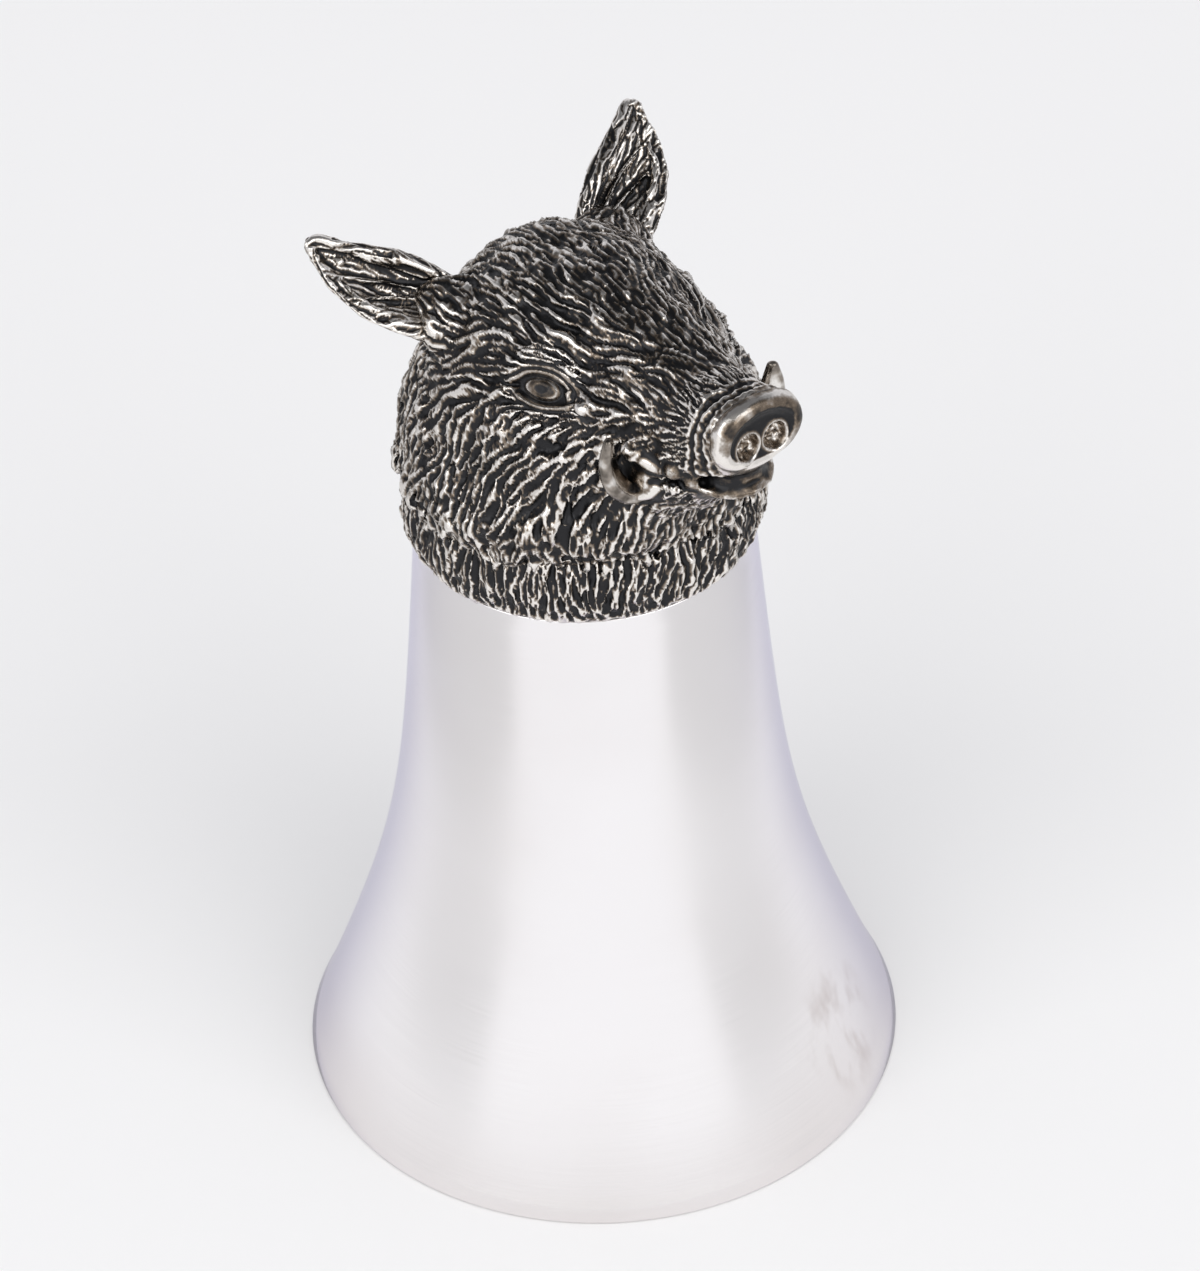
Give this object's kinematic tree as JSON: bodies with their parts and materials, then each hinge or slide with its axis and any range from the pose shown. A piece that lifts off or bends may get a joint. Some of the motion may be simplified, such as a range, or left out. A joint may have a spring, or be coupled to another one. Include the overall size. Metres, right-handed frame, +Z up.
{
  "type": "stirrup cup",
  "caption": "Drinking cup that stands mouth down: a plain flared metal bell with a cast boar's head on its closed end.",
  "frame": {"origin": "centre of the mouth rim's plane, on which the cup stands", "axes": "+Z up along the cup's axis from the mouth to the head, -Y toward the snout, +X toward the boar's left ear"},
  "size_m": [0.076, 0.076, 0.1213],
  "materials": {
    "satin_metal": "satin",
    "blackened_metal": "blackened in the hollows, rubbed bright on the ridges",
    "polished_metal": "polished",
    "solder": "satin"
  },
  "bodies": {
    "root": {"cup_bell": "satin_metal", "cup_solder": "solder", "neck_collar": "blackened_metal", "head_solder": "solder", "head_casting": "blackened_metal", "right_ear": "blackened_metal", "left_ear": "blackened_metal", "right_tusk": "polished_metal", "left_tusk": "polished_metal"}
  },
  "joints": []
}
